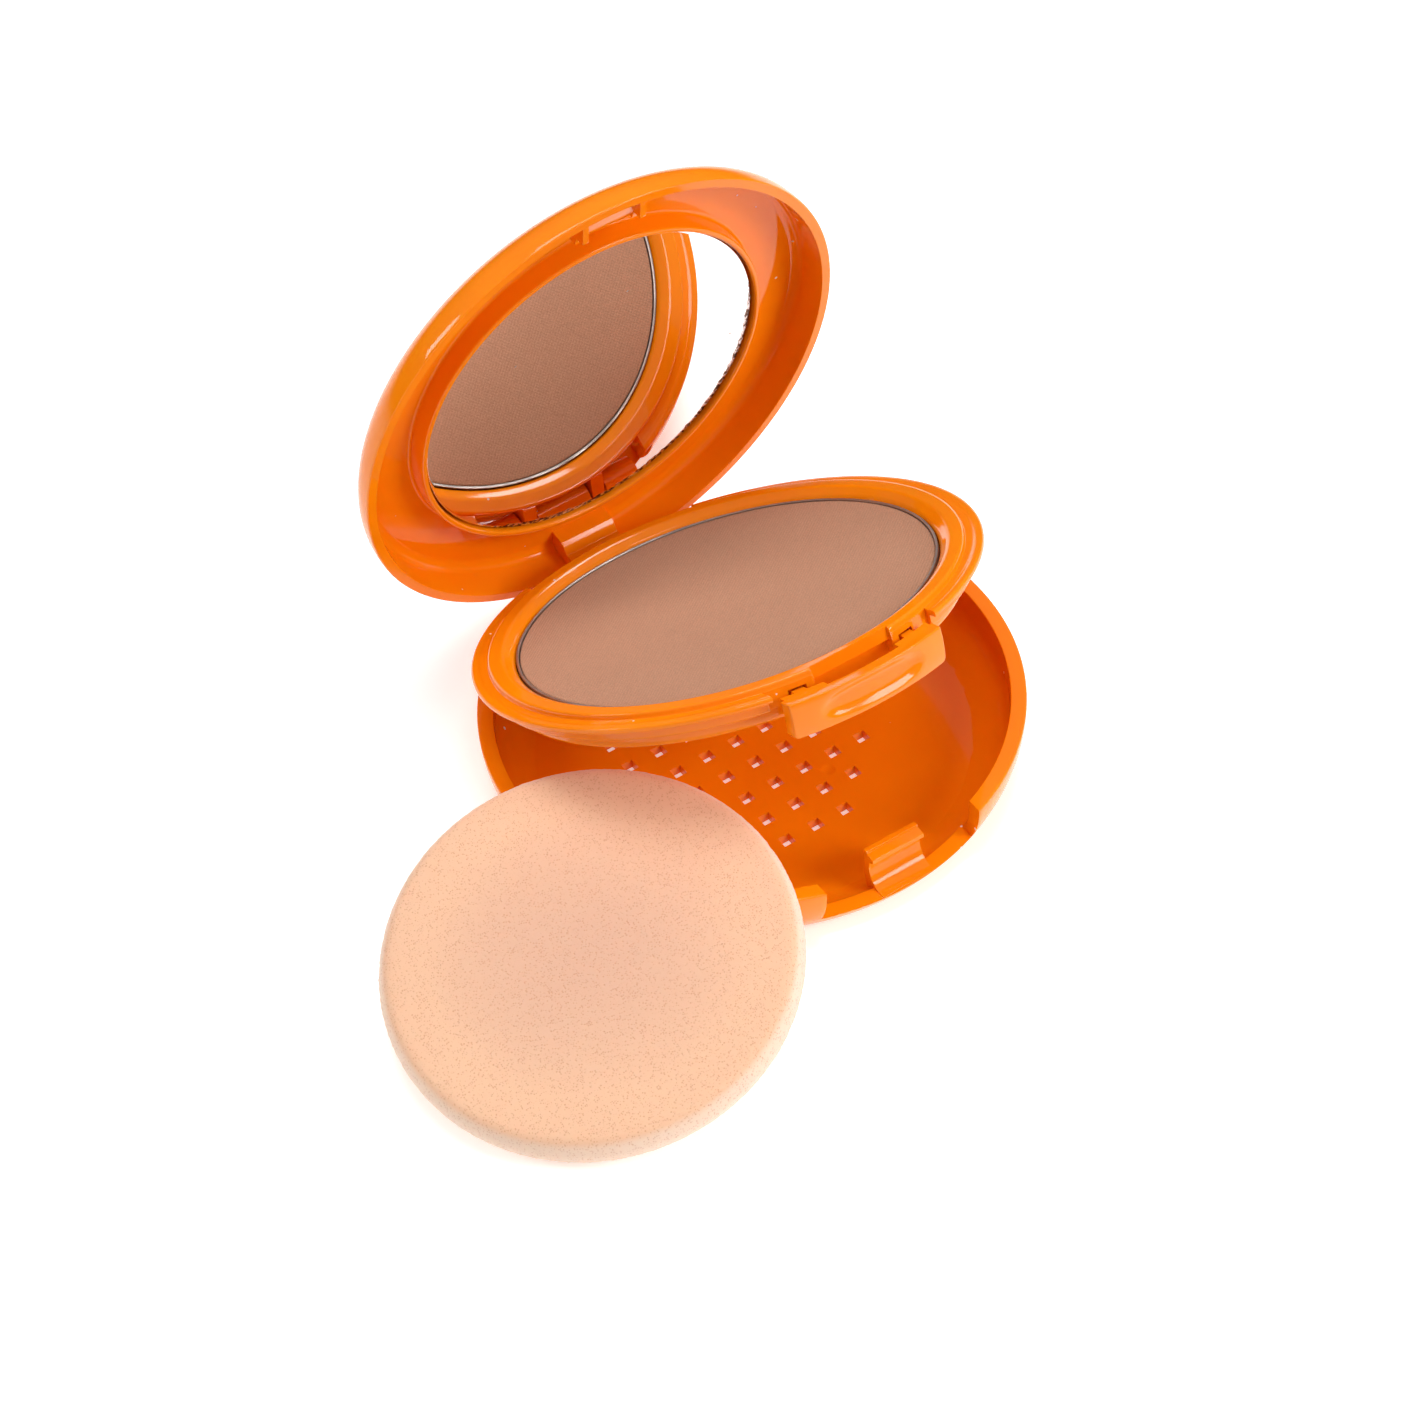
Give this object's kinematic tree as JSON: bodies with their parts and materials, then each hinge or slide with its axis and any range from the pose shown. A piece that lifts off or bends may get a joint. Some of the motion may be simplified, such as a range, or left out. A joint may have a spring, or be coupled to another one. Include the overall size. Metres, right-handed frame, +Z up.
{
  "type": "powder compact",
  "caption": "Round two-deck pressed-powder compact with hinged tray and mirrored lid, vented sponge well in the base, front push button, and a disc sponge leaning on its rim.",
  "frame": {"origin": "centre of the base's flat underside, where the case stands on the table", "axes": "+Z up from the table; +Y from the push button to the hinge; +X to the right along the hinge, seen from the front"},
  "size_m": [0.1087, 0.0995, 0.0777],
  "materials": {
    "shell_plastic": "glossy moulded orange plastic",
    "pin_steel": "satin drawn wire",
    "pan_metal": "satin pressed sheet",
    "pressed_powder": "matt, cloth-pressed surface",
    "adhesive_pad": "matt adhesive film",
    "mirror_glass": "silvered glass, edge worn",
    "latex_sponge": "matt fine-celled latex foam"
  },
  "bodies": {
    "base": {"base_shell": "shell_plastic", "hinge_pin": "pin_steel"},
    "tray": {"tray": "shell_plastic", "pan_adhesive": "adhesive_pad", "powder_pan": "pan_metal", "pressed_powder": "pressed_powder"},
    "button": {"push_button": "shell_plastic"},
    "lid": {"lid_shell": "shell_plastic", "mirror_adhesive": "adhesive_pad", "mirror": "mirror_glass"},
    "sponge": {"sponge": "latex_sponge"}
  },
  "joints": [
    {"name": "tray_hinge", "type": "hinge", "parent": "base", "child": "tray", "pos_m": [0, 0.0345, 0.0057], "axis": [-1, 0, 0], "range_deg": [-24.7, 20], "deforming": ["sponge"]},
    {"name": "lid_hinge", "type": "hinge", "parent": "tray", "child": "lid", "pos_m": [0, 0.0345, 0.0057], "axis": [-1, 0, 0], "range_deg": [-56.4, 10]},
    {"name": "button_press", "type": "slide", "parent": "tray", "child": "button", "axis": [0, 0.9085, -0.4179], "range_m": [0, 0.0008], "stiffness_N_per_m": 2500},
    {"name": "sponge_slide", "type": "slide", "parent": "base", "child": "sponge", "axis": [-0.8517, -0.524, 0], "range_m": [0, 0.06]}
  ]
}
